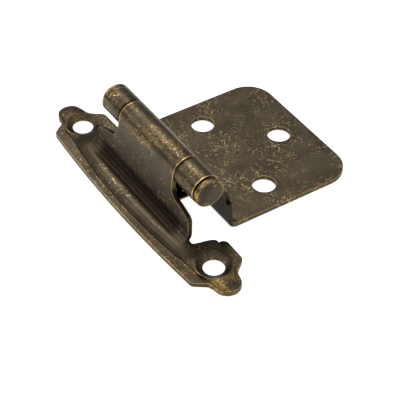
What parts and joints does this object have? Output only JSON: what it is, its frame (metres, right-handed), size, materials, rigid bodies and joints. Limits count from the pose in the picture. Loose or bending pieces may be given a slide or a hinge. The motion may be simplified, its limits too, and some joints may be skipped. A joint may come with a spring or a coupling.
{
  "type": "surface mount hinge",
  "caption": "Surface mount cabinet hinge with a stamped necked wing, rolled knuckles on a pin, a square door plate and a closing spring, in a dark antique brass finish.",
  "frame": {"origin": "midway between the two screw holes of the wing, at the height of their lands, 0.85 mm above the wing's back plane", "axes": "+X from the wing towards the door plate, +Y along the hinge pin, +Z out of the cabinet face"},
  "size_m": [0.0501, 0.0702, 0.0174],
  "materials": {
    "frame_leaf": "antique brass plate, darkened and brushed back on the high spots, lacquered",
    "door_leaf": "antique brass plate, darkened and brushed back, lacquered",
    "hinge_pin": "antique brass plate, bright at the rim of the head",
    "closing_spring": "dark plated spring steel"
  },
  "bodies": {
    "frame": {"frame_leaf": "frame_leaf", "closing_spring": "closing_spring"},
    "door": {"door_leaf": "door_leaf", "hinge_pin": "hinge_pin"}
  },
  "joints": [
    {"name": "door_swing", "type": "hinge", "parent": "frame", "child": "door", "pos_m": [0.0038, 0, 0.01305], "axis": [0, -1, 0], "range_deg": [0, 180]}
  ]
}
